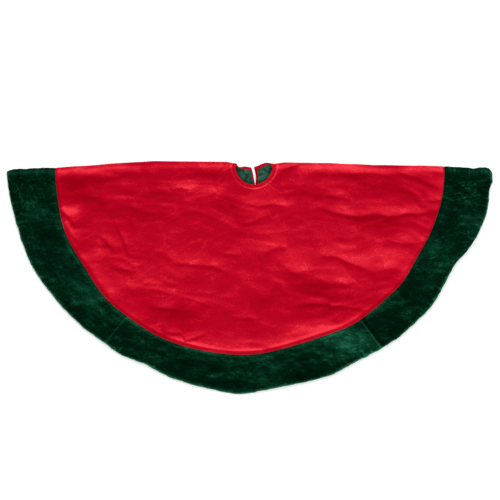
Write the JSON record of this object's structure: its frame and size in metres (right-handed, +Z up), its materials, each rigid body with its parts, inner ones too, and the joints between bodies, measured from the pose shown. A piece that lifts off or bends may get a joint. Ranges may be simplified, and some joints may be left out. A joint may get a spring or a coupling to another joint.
{
  "type": "tree skirt",
  "caption": "Round red velvet tree skirt with a wide green plush border and green lining, slit at the back, stored folded in half.",
  "frame": {"origin": "middle of the bounding box, at floor height (the underside of the two lower flaps)", "axes": "+Z up out of the outside of the uncut half, which lies on top; +Y towards the straight folded edge, so the curved hem faces -Y; +X to the right along the fold"},
  "size_m": [1.2192, 0.6366, 0.014],
  "materials": {
    "red_velvet": "soft short-pile velvet",
    "green_plush": "longer, crushed plush pile",
    "green_lining": "smooth woven lining",
    "red_band": "velvet band, topstitched",
    "hook_tape": "stiff hook tape",
    "loop_tape": "soft loop tape"
  },
  "bodies": {
    "front": {"red_panel_front": "red_velvet", "lining_front": "green_lining", "neck_binding_front": "red_band", "border_left_front": "green_plush", "border_centre": "green_plush", "border_right_front": "green_plush", "red_fold_left": "red_velvet", "lining_fold_left": "green_lining", "border_fold_left": "green_plush", "red_fold_right": "red_velvet", "lining_fold_right": "green_lining", "border_fold_right": "green_plush"},
    "back_left": {"red_panel_back_left": "red_velvet", "lining_back_left": "green_lining", "neck_binding_back_left": "red_band", "border_left_back": "green_plush", "border_slit_left": "green_plush", "slit_facing_left": "red_band", "hook_patches": "hook_tape"},
    "back_right": {"red_panel_back_right": "red_velvet", "lining_back_right": "green_lining", "neck_binding_back_right": "red_band", "border_right_back": "green_plush", "border_slit_right": "green_plush", "slit_facing_right": "red_band", "loop_patches": "loop_tape"}
  },
  "joints": [
    {"name": "left_fold", "type": "hinge", "parent": "front", "child": "back_left", "pos_m": [0, 0.3113, 0.007], "axis": [1, 0, 0], "range_deg": [0, 180], "deforming": ["red_fold_left", "lining_fold_left", "border_fold_left"]},
    {"name": "right_fold", "type": "hinge", "parent": "front", "child": "back_right", "pos_m": [0, 0.3113, 0.007], "axis": [1, 0, 0], "range_deg": [0, 180], "deforming": ["red_fold_right", "lining_fold_right", "border_fold_right"]}
  ]
}
